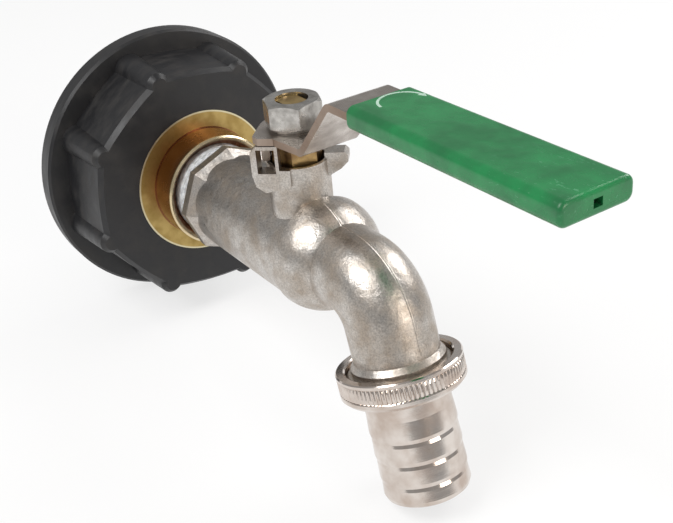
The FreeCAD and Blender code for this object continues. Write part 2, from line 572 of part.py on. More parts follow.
def make_lever():
    body = new_body("lever")
    body.setExpression("Placement.Base.x", "dim.stem_place")
    rise = "(dim.lever_high - dim.lever_low)"
    slope = f"atan({rise} / (dim.ramp_end - dim.ramp_start))"
    shift = f"dim.lever_thick * tan({slope} / 2)"
    top_low = "dim.lever_low + dim.lever_thick"
    top_high = "dim.lever_high + dim.lever_thick"
    side = sketch_on(body, "XZ_Plane")
    outline(side, [("0", "dim.lever_low"), (f"dim.ramp_start + {shift}", "dim.lever_low"),
                   (f"dim.ramp_end + {shift}", "dim.lever_high"), ("dim.lever_end", "dim.lever_high"),
                   ("dim.lever_end", top_high), ("dim.ramp_end", top_high), ("dim.ramp_start", top_low),
                   ("0", top_low)])
    strip = pad(body, side, "2 * dim.lever_half", both=True)
    start, end = num("dim.ramp_start"), num(f"dim.ramp_end + {shift}")
    low, high = num("dim.lever_low"), num(top_high)

    def bend(edge, inside):
        spot = middle_of(edge)
        if not is_near(edge.BoundBox.YLength, 2 * num("dim.lever_half")):
            return False
        lower = is_near(spot.z, num(top_low)) if inside else is_near(spot.z, low)
        upper = is_near(spot.z, num("dim.lever_high")) if inside else is_near(spot.z, high)
        return (lower and start - 0.1 < spot.x < start + 3) or (upper and end - 3 < spot.x < end + 0.1)

    strip = round_edges(body, strip, lambda edge: bend(edge, True), "dim.bend_inside")
    round_edges(body, strip, lambda edge: bend(edge, False), "dim.bend_inside + dim.lever_thick")
    plate = sketch_on(body, "XY_Plane", ("0", "0", "dim.lever_low"))
    circle(plate, "0", "0", "dim.head_radius")
    pad(body, plate, "dim.lever_thick")
    # a square corner over the padlock eye, its sides tangent to the round head
    corner = sketch_on(body, "XY_Plane", ("0", "0", "dim.lever_low"), "dim.eye_turn * 1 deg")
    reach = "dim.head_radius"
    outline(corner, [("0", "0"), (reach, "0"), (reach, f"{reach} - dim.head_tip_round"),
                     (f"{reach} - dim.head_tip_round", reach), ("0", reach)])
    pad(body, corner, "dim.lever_thick")
    ramp_top = f"dim.ramp_end + {shift}"
    for sign in (-1, 1):
        waist = sketch_on(body, "XY_Plane", ("0", "0", "dim.lever_low - 1"))
        wide = f"{sign} * (dim.lever_half + 2)"
        outline(waist, [("dim.waist_from", f"{sign} * dim.lever_half"),
                        ("dim.waist_place", f"{sign} * dim.waist_half"),
                        (ramp_top, f"{sign} * dim.ramp_half"),
                        ("dim.sleeve_start", f"{sign} * dim.ramp_half"),
                        ("dim.sleeve_start", f"{sign} * dim.grip_half"),
                        ("dim.lever_end + 1", f"{sign} * dim.grip_half"), ("dim.lever_end + 1", wide),
                        ("dim.waist_from", wide)])
        pad(body, waist, "dim.lever_high + dim.lever_thick - dim.lever_low + 2", cut=True, back=True)
    apron = sketch_on(body, "XZ_Plane", turn=f"{apron_middle()} * 1 deg", about=(0, 1, 0))
    outline(apron, [("dim.head_radius", "dim.apron_low"),
                    ("dim.head_radius - dim.lever_thick", "dim.apron_low"),
                    ("dim.head_radius - dim.lever_thick", "dim.lever_low + dim.lever_thick / 2"),
                    ("dim.head_radius", "dim.lever_low + dim.lever_thick / 2")])
    revolve(body, apron, "V_Axis", angle=apron_angle(), both=True)
    hole = sketch_on(body, "XY_Plane", ("0", "0", "dim.lever_low - 1"))
    radius = "dim.stem_radius + dim.lever_hole_gap"
    half = "(dim.stem_flats / 2 + dim.lever_hole_gap)"
    edge_x = f"sqrt(({radius}) ^ 2 - {half} ^ 2)"
    outline(hole, [(f"-{edge_x}", f"-{half}"), (edge_x, f"-{half}", radius), (edge_x, half),
                   (f"-{edge_x}", half, radius)])
    pad(body, hole, "dim.lever_thick + 2", cut=True, back=True)


def stop_edge():
    """Bearing of the stop's side, at the apron's inner radius."""
    return "(dim.stop_turn + asin(dim.stop_half / (dim.head_radius - dim.lever_thick)) / 1 deg)"


def eye_edge():
    """Bearing of the eye's back face, at the apron's outer radius."""
    return "(dim.eye_turn + asin((dim.eye_face - dim.eye_thick) / dim.head_radius) / 1 deg)"


def apron_angle():
    """What is left between the stop and the eye when a quarter turn of travel is taken away."""
    return f"({eye_edge()} - {stop_edge()} - 90 - 2 * dim.apron_gap)"


def apron_middle():
    return f"({eye_edge()} - dim.apron_gap - {apron_angle()} / 2)"


def make_top_nut():
    low = "dim.lever_low + dim.lever_thick + dim.spring_washer_thick"
    high = f"{low} + dim.top_nut_height"
    body = new_body("lever_nut")
    body.setExpression("Placement.Base.x", "dim.stem_place")
    head = sketch_on(body, "XY_Plane", ("0", "0", low))
    polygon(head, 6, "dim.top_nut_flats", 40)
    circle(head, "0", "0", "dim.stem_radius + dim.thread_gap")
    pad(body, head, "dim.top_nut_height")
    trim_hex(body, "dim.top_nut_flats", f"({low})", f"({high})", "XZ_Plane", "V_Axis", "both")


def make_sleeve():
    body = new_body("lever_sleeve")
    body.setExpression("Placement.Base.x", "dim.stem_place")
    low = "dim.lever_high - dim.sleeve_wall"
    high = "dim.lever_high + dim.lever_thick + dim.sleeve_wall"
    block = sketch_on(body, "YZ_Plane", ("0", "0", "dim.sleeve_start"))
    outline(block, [("-dim.sleeve_half", low), ("dim.sleeve_half", low), ("dim.sleeve_half", high),
                    ("-dim.sleeve_half", high)])
    whole = pad(body, block, "dim.sleeve_end - dim.sleeve_start")
    start, end = num("dim.sleeve_start"), num("dim.sleeve_end")
    long_edges = round_edges(body, whole, lambda edge: edge.BoundBox.XLength > (end - start) / 2,
                             "dim.sleeve_round")
    round_edges(body, long_edges,
                lambda edge: is_near(middle_of(edge).x, end) and edge.BoundBox.XLength < 0.01,
                "dim.sleeve_end_round")
    space = sketch_on(body, "YZ_Plane", ("0", "0", "dim.sleeve_start - 1"))
    half = "dim.grip_half + dim.thread_gap"
    outline(space, [(f"-({half})", "dim.lever_high - dim.thread_gap"),
                    (half, "dim.lever_high - dim.thread_gap"),
                    (half, "dim.lever_high + dim.lever_thick + dim.thread_gap"),
                    (f"-({half})", "dim.lever_high + dim.lever_thick + dim.thread_gap")])
    pad(body, space, "dim.lever_end - dim.sleeve_start + 1 + dim.thread_gap", cut=True, back=True)
    slot = sketch_on(body, "YZ_Plane", ("0", "0", "dim.lever_end"))
    outline(slot, [("-dim.sleeve_slot / 2", "dim.lever_high"), ("dim.sleeve_slot / 2", "dim.lever_high"),
                   ("dim.sleeve_slot / 2", "dim.lever_high + dim.lever_thick"),
                   ("-dim.sleeve_slot / 2", "dim.lever_high + dim.lever_thick")])
    pad(body, slot, "dim.sleeve_end - dim.lever_end + 1", cut=True, back=True)


def outlet_body(name):
    """A body whose Z runs down the outlet from the level of the hose nut's upper rim."""
    body = new_body(name)
    body.Placement = FreeCAD.Placement(FreeCAD.Vector(), FreeCAD.Rotation(FreeCAD.Vector(0, 1, 0), 164))
    body.setExpression("Placement.Base.x", "dim.outlet_place")
    body.setExpression("Placement.Base.z", "-dim.outlet_drop")
    body.setExpression("Placement.Rotation.Angle", "180 - dim.outlet_tilt")
    return body


def tail_top():
    return "(dim.outlet_thread_start + dim.outlet_thread_length + dim.seat_gap + dim.hose_gasket_thick)"


def make_hose_nut():
    body = outlet_body("hose_nut")
    lip = f"({tail_top()} + dim.tail_flange_thick + dim.seat_gap)"
    height = f"({lip} + dim.hose_nut_lip)"
    inside = "dim.outlet_thread_radius + dim.nut_thread_gap"
    knurl = "dim.hose_nut_radius - dim.rim_step"
    sketch = sketch_on(body, "XZ_Plane")
    outline(sketch, [("dim.hose_nut_opening", "0"), ("dim.hose_nut_radius - dim.rim_step", "0"),
                     ("dim.hose_nut_radius", "dim.rim_step"), ("dim.hose_nut_radius", "dim.hose_nut_rim"),
                     (knurl, "dim.hose_nut_rim + dim.rim_step"),
                     (knurl, f"{height} - dim.hose_nut_rim - dim.hose_nut_chamfer - dim.rim_step"),
                     ("dim.hose_nut_radius", f"{height} - dim.hose_nut_rim - dim.hose_nut_chamfer"),
                     ("dim.hose_nut_radius", f"{height} - dim.hose_nut_chamfer"),
                     ("dim.hose_nut_radius - dim.hose_nut_chamfer", height), ("dim.hose_nut_hole", height),
                     ("dim.hose_nut_hole", lip), (inside, lip), (inside, f"dim.hose_nut_opening - ({inside})")])
    revolve(body, sketch, "V_Axis")


def make_tail():
    body = outlet_body("hose_tail")
    flange = "dim.outlet_thread_radius - dim.tail_side_gap"
    corners = [("dim.tail_bore", tail_top()), (flange, tail_top()),
               (flange, f"{tail_top()} + dim.tail_flange_thick"),
               ("dim.tail_neck_radius", f"{tail_top()} + dim.tail_flange_thick"),
               ("dim.tail_neck_radius", "dim.tail_first_barb - dim.tail_pitch")]
    for k in range(int(num("dim.tail_barbs"))):
        crest = f"dim.tail_first_barb + {k} * dim.tail_pitch"
        corners += [("dim.tail_radius", f"{crest} - 1.2"), ("dim.tail_radius - 0.15", f"{crest} - 0.2"),
                    ("dim.tail_radius - dim.barb_depth", crest),
                    ("dim.tail_radius - dim.barb_depth / 2", f"{crest} + 0.8")]
    corners += [("dim.tail_radius", "dim.tail_end - 1.6"), ("dim.tail_radius - 0.4", "dim.tail_end - 0.5"),
                ("dim.tail_radius - 1", "dim.tail_end"), ("dim.tail_bore", "dim.tail_end")]
    sketch = sketch_on(body, "XZ_Plane")
    outline(sketch, corners)
    revolve(body, sketch, "V_Axis")


def make_hose_gasket():
    body = outlet_body("hose_gasket")
    low = f"{tail_top()} - dim.hose_gasket_thick"
    sketch = sketch_on(body, "XZ_Plane")
    outline(sketch, [("dim.tail_bore", low), ("dim.outlet_thread_radius - 0.1", low),
                     ("dim.outlet_thread_radius - 0.1", tail_top()), ("dim.tail_bore", tail_top())])
    revolve(body, sketch, "V_Axis")


make_cap()
ring("tank_gasket", "dim.cap_cavity_depth - dim.gasket_thick", "dim.cap_cavity_radius - dim.gasket_width",
     "dim.cap_cavity_radius - dim.cap_wall_round", "dim.gasket_thick")
make_insert()
seal_place = "dim.cap_depth - dim.ring_thick + dim.ring_seal_section / 2"
parts.append(torus("insert_o_ring", "dim.ring_seal_radius", "dim.ring_seal_section / 2", seal_place))
make_lock_nut()
ring("thread_tape", "dim.inlet_end + 1.2", "dim.inlet_thread_radius + dim.thread_gap",
     "dim.inlet_thread_radius + dim.thread_gap + dim.tape_thick", "dim.octagon_start - dim.inlet_end - 1.3")
make_body()
make_retainer()
make_seats()
make_ball()
make_stem()
stem_ring("stem_thrust_washer", "dim.stem_radius + dim.stem_gap", "dim.collar_radius", "dim.collar_top",
          "dim.collar_top + dim.washer_thick")
seal_section = "(dim.seal_groove_depth + dim.stem_gap) / 2 - 0.01"
seal_radius = "dim.stem_radius + dim.stem_gap / 2 - dim.seal_groove_depth / 2"
seals = [torus(f"stem_seal_{k}", seal_radius, seal_section, "dim.stem_place",
               f"dim.seal_low + {k} * dim.seal_pitch", lying=True) for k in range(2)]
stem_o_rings = doc.addObject("Part::Compound", "stem_o_rings")
stem_o_rings.Links = seals
stem_o_rings.Label = "stem_o_rings"
parts.append(stem_o_rings)
stem_ring("packing_ring", "dim.stem_radius + dim.stem_gap", "dim.gland_thread_radius - dim.thread_gap",
          "dim.packing_floor", "dim.packing_floor + dim.packing_thick")
make_gland_nut()
make_lever()
stem_ring("lever_washer", "dim.stem_radius + dim.stem_gap", "dim.spring_washer_radius",
          "dim.lever_low + dim.lever_thick", "dim.lever_low + dim.lever_thick + dim.spring_washer_thick")
make_top_nut()
make_sleeve()
make_hose_nut()
make_tail()
make_hose_gasket()

doc.recompute()
os.makedirs("parts", exist_ok=True)
for item in doc.Objects:
    if "Invalid" in item.State or "Error" in item.State:
        raise RuntimeError(f"{item.Name} failed: {item.State}")
for item in parts:
    shape = item.Shape
    if shape.isNull() or not shape.isValid() or not shape.Solids:
        raise RuntimeError(item.Label + " has no valid solid")
for item in parts:
    item.Shape.exportStep(f"parts/{item.Label}.step")
    box = item.Shape.BoundBox
    print(f"{item.Label:20s} solids {len(item.Shape.Solids)} volume {item.Shape.Volume:9.1f} "
          f"x {box.XMin:6.1f} {box.XMax:6.1f} y {box.YMin:6.1f} {box.YMax:6.1f} z {box.ZMin:6.1f} {box.ZMax:6.1f}")
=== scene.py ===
import math

import bpy
import numpy as np
from mathutils import Matrix, Vector


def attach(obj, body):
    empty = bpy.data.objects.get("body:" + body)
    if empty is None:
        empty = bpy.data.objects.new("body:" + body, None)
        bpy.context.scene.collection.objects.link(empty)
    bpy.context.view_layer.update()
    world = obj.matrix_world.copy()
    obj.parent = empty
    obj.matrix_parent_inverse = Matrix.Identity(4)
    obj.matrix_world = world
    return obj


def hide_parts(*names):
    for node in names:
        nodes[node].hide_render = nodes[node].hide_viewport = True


# Looks for the tank valve. Metres. X runs along the flow, Z along the valve stem.

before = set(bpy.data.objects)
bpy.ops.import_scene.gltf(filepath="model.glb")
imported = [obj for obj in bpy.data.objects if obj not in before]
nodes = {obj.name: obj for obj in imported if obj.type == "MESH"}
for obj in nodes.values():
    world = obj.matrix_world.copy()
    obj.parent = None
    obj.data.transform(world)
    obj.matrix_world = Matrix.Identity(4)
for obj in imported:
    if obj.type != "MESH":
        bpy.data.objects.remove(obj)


mm = 0.001
stemPlace = 80.4 * mm
outletTilt = math.radians(16)
outletPlace = np.array([117.5, 0.0, -16.0]) * mm
outletAxis = np.array([math.sin(outletTilt), 0.0, -math.cos(outletTilt)])
outletSide = np.array([0.0, 1.0, 0.0])


def linear(hexText):
    # sRGB to linear: c / 12.92 below 0.04045, else ((c + 0.055) / 1.055)^2.4
    values = [int(hexText[k:k + 2], 16) / 255 for k in (1, 3, 5)]
    return tuple(v / 12.92 if v <= 0.04045 else ((v + 0.055) / 1.055) ** 2.4 for v in values) + (1.0,)


def addNode(tree, kind, values=None, links=None, **settings):
    node = tree.nodes.new("ShaderNode" + kind)
    for name, value in settings.items():
        setattr(node, name, value)
    for name, value in (values or {}).items():
        node.inputs[name].default_value = value
    for name, socket in (links or {}).items():
        tree.links.new(socket, node.inputs[name])
    return node


def newTree(name):
    material = bpy.data.materials.new(name)
    material.use_nodes = True
    material.node_tree.nodes.clear()
    return material, material.node_tree


def maths(tree, operation, *items):
    values = {slot: item for slot, item in enumerate(items) if isinstance(item, (int, float))}
    links = {slot: item for slot, item in enumerate(items) if slot not in values}
    return addNode(tree, "Math", values, links, operation=operation).outputs[0]


def distanceOf(tree, first, second):
    # sqrt(a^2 + b^2)
    squares = [maths(tree, "MULTIPLY", item, item) for item in (first, second)]
    return maths(tree, "SQRT", maths(tree, "ADD", *squares))


def noiseAt(tree, coords, size, detail=3.0, rough=0.55, stretch=None):
    # noise cells are about one size across: scale = 1 / size
    if stretch:
        coords = addNode(tree, "Mapping", {"Scale": stretch}, {"Vector": coords}).outputs["Vector"]
    return addNode(tree, "TexNoise", {"Scale": 1 / size, "Detail": detail, "Roughness": rough},
                   {"Vector": coords}).outputs["Fac"]


def linesAlong(tree, distance, size):
    # fine lines across one direction: the same noise, read along a single distance
    return addNode(tree, "TexNoise", {"Scale": 1 / size, "Detail": 2.0}, {"W": distance},
                   noise_dimensions="1D").outputs["Fac"]


def spread(tree, source, low, high, toLow=0.0, toHigh=1.0):
    return addNode(tree, "MapRange", {"From Min": low, "From Max": high, "To Min": toLow, "To Max": toHigh},
                   {"Value": source}, clamp=True).outputs["Result"]


def blendColours(tree, factor, first, second):
    node = addNode(tree, "Mix", data_type="RGBA")
    for slot, item in ((6, first), (7, second)):
        if isinstance(item, str):
            node.inputs[slot].default_value = linear(item)
        else:
            tree.links.new(item, node.inputs[slot])
    tree.links.new(factor, node.inputs[0])
    return node.outputs[2]


def bumpChain(tree, layers):
    # each layer adds its own height in metres on top of the one before
    normal = None
    for source, height, strength in layers:
        links = {"Height": source}
        if normal:
            links["Normal"] = normal
        normal = addNode(tree, "Bump", {"Distance": height, "Strength": strength}, links).outputs["Normal"]
    return normal


def closeTree(tree, colour, roughness, normal, **sockets):
    values = {name.replace("_", " "): value for name, value in sockets.items()}
    links = {"Base Color": colour, "Roughness": roughness, "Normal": normal}
    shader = addNode(tree, "BsdfPrincipled", values, links)
    addNode(tree, "OutputMaterial", links={"Surface": shader.outputs["BSDF"]})


def objectCoords(tree):
    node = addNode(tree, "TexCoord")
    return node.outputs["Object"], node.outputs["Normal"]


def castNickel():
    # nickel over a sand-blasted brass casting: fine grain, soft dents, dull and bright patches
    look = {"pale": "#d3cec8", "dull": "#8d8781", "warm": "#b7aa9c", "dullShare": 0.62, "grain": 0.42 * mm,
            "dent": 2.6 * mm, "patch": 5.5 * mm, "grainHeight": 0.055 * mm, "dentHeight": 0.16 * mm,
            "smooth": 0.27, "rough": 0.47}
    material, tree = newTree("nickelCastBlasted")
    coords, _ = objectCoords(tree)
    patch = noiseAt(tree, coords, look["patch"], 4.0)
    grain = noiseAt(tree, coords, look["grain"], 4.0, 0.65)
    dent = noiseAt(tree, coords, look["dent"], 2.0)
    speck = spread(tree, grain, 0.36, 0.62)
    colour = blendColours(tree, spread(tree, patch, 0.35, 0.68), look["pale"], look["warm"])
    dulled = maths(tree, "MULTIPLY", maths(tree, "SUBTRACT", 1.0, speck), look["dullShare"])
    colour = blendColours(tree, dulled, colour, look["dull"])
    roughness = spread(tree, patch, 0.3, 0.7, look["smooth"], look["rough"])
    normal = bumpChain(tree, [(dent, look["dentHeight"], 1.0), (grain, look["grainHeight"], 1.0)])
    closeTree(tree, colour, roughness, normal, Metallic=1.0)
    return material


def brightNickel():
    # polished nickel with faint turning lines about the outlet's own axis
    look = {"pale": "#ddd5ce", "tone": "#c2b3a8", "patch": 7 * mm, "line": 0.16 * mm,
            "lineHeight": 0.004 * mm, "smooth": 0.09, "rough": 0.22}
    material, tree = newTree("nickelPolishedTurned")
    coords, _ = objectCoords(tree)
    along = addNode(tree, "VectorMath", {1: outletAxis.tolist()}, {0: coords},
                    operation="DOT_PRODUCT").outputs["Value"]
    lines = linesAlong(tree, along, look["line"])
    patch = noiseAt(tree, coords, look["patch"], 3.0)
    colour = blendColours(tree, spread(tree, patch, 0.35, 0.65), look["pale"], look["tone"])
    roughness = spread(tree, patch, 0.35, 0.7, look["smooth"], look["rough"])
    closeTree(tree, colour, roughness, bumpChain(tree, [(lines, look["lineHeight"], 1.0)]), Metallic=1.0)
    return material


def turnedBrass(name, axis, ownLook):
    # machined brass: turning lines follow the distance from the turning axis
    look = {"base": "#c2a566", "dark": "#8c6f3d", "line": 0.22 * mm, "lineHeight": 0.006 * mm,
            "patch": 3.5 * mm, "fine": 0.3 * mm, "fineHeight": 0.006 * mm, "smooth": 0.28, "rough": 0.42}
    look.update(ownLook)
    material, tree = newTree(name)
    coords, _ = objectCoords(tree)
    part = addNode(tree, "SeparateXYZ", links={0: coords}).outputs
    if axis == "X":
        first, second = part["Y"], part["Z"]
    else:
        first, second = maths(tree, "SUBTRACT", part["X"], stemPlace), part["Y"]
    distance = distanceOf(tree, first, second)
    lines = linesAlong(tree, distance, look["line"])
    patch = noiseAt(tree, coords, look["patch"], 4.0)
    fine = noiseAt(tree, coords, look["fine"], 3.0)
    colour = blendColours(tree, spread(tree, patch, 0.38, 0.7), look["base"], look["dark"])
    roughness = spread(tree, patch, 0.3, 0.7, look["smooth"], look["rough"])
    if "hub" in look:
        # the hub is browner and smoother than the ring round it; the hub's front rim and the ring's outer
        # edge are painted pale, as painted highlights
        isHub = spread(tree, distance, look["hubRadius"], look["hubRadius"] - 0.2 * mm)
        # rim mask: the hub's front, which takes the pale rim colour as a painted highlight
        isFront = spread(tree, part["X"], look["rimPlace"], look["rimPlace"] + 0.5 * mm)
        rim = maths(tree, "MULTIPLY", isHub, isFront)
        colour = blendColours(tree, isHub, colour, look["hub"])
        colour = blendColours(tree, rim, colour, look["rim"])
        # the ring's outer edge takes a pale painted highlight
        edge = spread(tree, distance, look["edgeRadius"], look["edgeRadius"] + 0.2 * mm)
        colour = blendColours(tree, edge, colour, look["edge"])
        roughness = maths(tree, "SUBTRACT", roughness, maths(tree, "MULTIPLY", isHub, look["hubSmoother"]))
    normal = bumpChain(tree, [(lines, look["lineHeight"], 1.0), (fine, look["fineHeight"], 1.0)])
    closeTree(tree, colour, roughness, normal, Metallic=1.0)
    return material


def stampedStainless():
    # rolled faces keep a fine grain along X; sheared sides, whose normal points along Y, are rough and brown
    look = {"face": "#c9c1b9", "tone": "#a1978f", "side": "#8d7664", "sideShare": 0.8, "grain": 0.12 * mm,
            "tear": 0.35 * mm, "scratch": 0.5 * mm, "patch": 6 * mm, "grainHeight": 0.006 * mm,
            "tearHeight": 0.05 * mm, "smooth": 0.2, "rough": 0.36, "rougher": 0.12}
    material, tree = newTree("stainlessRolledStamped")
    coords, facing = objectCoords(tree)
    sideways = maths(tree, "ABSOLUTE", addNode(tree, "SeparateXYZ", links={0: facing}).outputs["Y"])
    isSide = spread(tree, sideways, 0.45, 0.75)
    grain = noiseAt(tree, coords, look["grain"], 3.0, 0.6, (0.06, 1.0, 1.0))
    tear = noiseAt(tree, coords, look["tear"], 4.0, 0.6, (1.0, 1.0, 0.25))
    patch = noiseAt(tree, coords, look["patch"], 4.0)
    scratch = spread(tree, noiseAt(tree, coords, look["scratch"], 1.0, 0.4, (0.05, 1.6, 1.0)), 0.66, 0.72)
    colour = blendColours(tree, spread(tree, patch, 0.35, 0.68), look["face"], look["tone"])
    colour = blendColours(tree, maths(tree, "MULTIPLY", isSide, look["sideShare"]), colour, look["side"])
    roughness = maths(tree, "ADD", spread(tree, patch, 0.3, 0.7, look["smooth"], look["rough"]),
                      maths(tree, "MULTIPLY", isSide, look["rougher"]))
    roughness = maths(tree, "ADD", roughness, maths(tree, "MULTIPLY", scratch, look["rougher"]))
    normal = bumpChain(tree, [(grain, look["grainHeight"], 1.0),
                              (maths(tree, "MULTIPLY", tear, isSide), look["tearHeight"], 1.0)])
    closeTree(tree, colour, roughness, normal, Metallic=1.0)
    return material


def zincSteel():
    # plated steel: cloudy patches of dull zinc over a fine grain
    look = {"base": "#c7c4bf", "dull": "#8f8b86", "patch": 3.2 * mm, "grain": 0.25 * mm,
            "patchHeight": 0.05 * mm, "grainHeight": 0.012 * mm, "smooth": 0.2, "rough": 0.42}
    material, tree = newTree("steelZincPlated")
    coords, _ = objectCoords(tree)
    patch = noiseAt(tree, coords, look["patch"], 5.0, 0.6)
    grain = noiseAt(tree, coords, look["grain"], 3.0)
    colour = blendColours(tree, spread(tree, patch, 0.38, 0.68), look["base"], look["dull"])
    roughness = spread(tree, patch, 0.3, 0.7, look["smooth"], look["rough"])
    normal = bumpChain(tree, [(patch, look["patchHeight"], 1.0), (grain, look["grainHeight"], 1.0)])
    closeTree(tree, colour, roughness, normal, Metallic=1.0)
    return material


def blackPolypropylene():
    # moulded satin plastic: faint flow texture, paler and rougher in patches
    look = {"base": "#1b1b1d", "worn": "#2e2c2b", "grain": 0.35 * mm, "flow": 6 * mm, "flowHeight": 0.09 * mm,
            "grainHeight": 0.014 * mm, "smooth": 0.36, "rough": 0.54}
    material, tree = newTree("polypropyleneMoulded")
    coords, _ = objectCoords(tree)
    grain = noiseAt(tree, coords, look["grain"], 3.0)
    flow = noiseAt(tree, coords, look["flow"], 4.0, 0.5, (2.5, 1.0, 1.0))
    colour = blendColours(tree, spread(tree, flow, 0.45, 0.75), look["base"], look["worn"])
    roughness = spread(tree, flow, 0.3, 0.7, look["smooth"], look["rough"])
    normal = bumpChain(tree, [(flow, look["flowHeight"], 1.0), (grain, look["grainHeight"], 1.0)])
    closeTree(tree, colour, roughness, normal)
    return material


def blackRubber():
    # moulded rubber: matt, with a grey bloom in patches
    look = {"base": "#202021", "bloom": "#3b3a39", "grain": 0.2 * mm, "grainHeight": 0.02 * mm,
            "patch": 4 * mm, "smooth": 0.5, "rough": 0.7}
    material, tree = newTree("rubberMoulded")
    coords, _ = objectCoords(tree)
    patch = noiseAt(tree, coords, look["patch"], 4.0)
    colour = blendColours(tree, spread(tree, patch, 0.5, 0.75), look["base"], look["bloom"])
    roughness = spread(tree, patch, 0.3, 0.7, look["smooth"], look["rough"])
    normal = bumpChain(tree, [(noiseAt(tree, coords, look["grain"], 3.0), look["grainHeight"], 1.0)])
    closeTree(tree, colour, roughness, normal)
    return material


def ptfe(name, base, shade, foldHeight):
    # waxy white plastic, lit a little from within, with folds as high as the piece has them
    look = {"base": base, "shade": shade, "fold": 0.8 * mm, "foldHeight": foldHeight, "grain": 0.15 * mm,
            "grainHeight": 0.01 * mm, "smooth": 0.3, "rough": 0.48, "glow": 0.1}
    material, tree = newTree(name)
    coords, _ = objectCoords(tree)
    fold = noiseAt(tree, coords, look["fold"], 4.0, 0.6, (1.0, 0.5, 0.5))
    grain = noiseAt(tree, coords, look["grain"], 2.0)
    # the folds' low parts take the darker shade colour: painted shade in the creases
    colour = blendColours(tree, spread(tree, fold, 0.35, 0.65), look["shade"], look["base"])
    roughness = spread(tree, fold, 0.3, 0.7, look["smooth"], look["rough"])
    normal = bumpChain(tree, [(fold, look["foldHeight"], 1.0), (grain, look["grainHeight"], 1.0)])
    closeTree(tree, colour, roughness, normal, Subsurface_Weight=look["glow"])
    return material


def greenSleeve():
    # dip-moulded vinyl with a plain printed arc and arrow head, and scuffs towards the free end
    look = {"base": "#1f8148", "deep": "#17683a", "print": "#b9d6c4", "scuff": "#5fa37c", "wave": 9 * mm,
            "fine": 0.6 * mm, "streak": 0.7 * mm, "waveHeight": 0.25 * mm, "fineHeight": 0.012 * mm,
            "scuffHeight": 0.02 * mm, "scuffShare": 0.6, "scuffFrom": 150 * mm, "scuffTo": 178 * mm,
            "arcPlace": 42.5 * mm, "arcAcross": 1.5 * mm, "arcRadius": 5.2 * mm, "arcWidth": 0.28 * mm,
            "arcSoft": 0.04 * mm, "headSize": 1.9 * mm, "smooth": 0.2, "rough": 0.36, "rougher": 0.25}
    material, tree = newTree("vinylDipMoulded")
    coords, facing = objectCoords(tree)
    part = addNode(tree, "SeparateXYZ", links={0: coords}).outputs
    up = addNode(tree, "SeparateXYZ", links={0: facing}).outputs["Z"]
    wave = noiseAt(tree, coords, look["wave"], 3.0)
    fine = noiseAt(tree, coords, look["fine"], 3.0)
    across = maths(tree, "SUBTRACT", part["Y"], look["arcAcross"])
    along = maths(tree, "SUBTRACT", part["X"], stemPlace + look["arcPlace"])
    # arc: | sqrt(u^2 + v^2) - R | < w, kept to the part with u < -0.1 R
    arcEnd = 0.1 * look["arcRadius"]
    fromCentre = distanceOf(tree, across, along)
    off = maths(tree, "ABSOLUTE", maths(tree, "SUBTRACT", fromCentre, look["arcRadius"]))
    arc = spread(tree, off, look["arcWidth"] + look["arcSoft"], look["arcWidth"])
    arc = maths(tree, "MULTIPLY", arc, maths(tree, "LESS_THAN", along, -arcEnd))
    # head: a triangle at the arc's end, |v - R| < (s - u) / 2 for 0 < u < s
    reach = maths(tree, "ADD", along, arcEnd)
    halfWide = maths(tree, "MULTIPLY", maths(tree, "SUBTRACT", look["headSize"], reach), 0.5)
    beside = maths(tree, "ABSOLUTE", maths(tree, "SUBTRACT", across, look["arcRadius"]))
    head = maths(tree, "LESS_THAN", beside, halfWide)
    head = maths(tree, "MULTIPLY", head, maths(tree, "GREATER_THAN", reach, 0.0))
    # the print lies only on the top face and is worn through in specks
    mark = maths(tree, "MULTIPLY", maths(tree, "MAXIMUM", arc, head), maths(tree, "GREATER_THAN", up, 0.7))
    mark = maths(tree, "MULTIPLY", mark, spread(tree, fine, 0.28, 0.4))
    streak = noiseAt(tree, coords, look["streak"], 4.0, 0.6, (0.35, 1.0, 1.0))
    atEnd = spread(tree, part["X"], look["scuffFrom"], look["scuffTo"])
    scuff = maths(tree, "MULTIPLY", spread(tree, streak, 0.62, 0.7), atEnd)
    colour = blendColours(tree, spread(tree, wave, 0.35, 0.65), look["base"], look["deep"])
    colour = blendColours(tree, maths(tree, "MULTIPLY", scuff, look["scuffShare"]), colour, look["scuff"])
    colour = blendColours(tree, mark, colour, look["print"])
    roughness = maths(tree, "ADD", spread(tree, wave, 0.3, 0.7, look["smooth"], look["rough"]),
                      maths(tree, "MULTIPLY", scuff, look["rougher"]))
    normal = bumpChain(tree, [(wave, look["waveHeight"], 1.0), (fine, look["fineHeight"], 1.0),
                              (scuff, look["scuffHeight"], 1.0)])
    closeTree(tree, colour, roughness, normal)
    return material


castMetal = castNickel()
polished = brightNickel()
stainless = stampedStainless()
zinc = zincSteel()
plastic = blackPolypropylene()
rubber = blackRubber()
vinyl = greenSleeve()
# rim and edge are pale painted highlights on the hub's front and on the ring's outer edge
insertLook = {"base": "#b59c63", "dark": "#9c834c", "hub": "#96694a", "hubRadius": 16.4 * mm,
              "hubSmoother": 0.12, "rim": "#d9c7a4", "rimPlace": 34.0 * mm, "edge": "#d8cfae",
              "edgeRadius": 20.5 * mm}
insertBrass = turnedBrass("brassTurnedInsert", "X", insertLook)
innerBrass = turnedBrass("brassTurned", "X", {})
stemBrass = turnedBrass("brassTurnedStem", "Z", {})
glandBrass = turnedBrass("brassTurnedGland", "Z", {"base": "#b79a6a", "dark": "#7d6144"})
# the second colour of each is the painted shade in the folds' creases
seatPlastic = ptfe("ptfeMoulded", "#ecebe6", "#d8d6cf", 0.01 * mm)
tapePlastic = ptfe("ptfeTapeWound", "#f0efee", "#a9a6a4", 0.12 * mm)
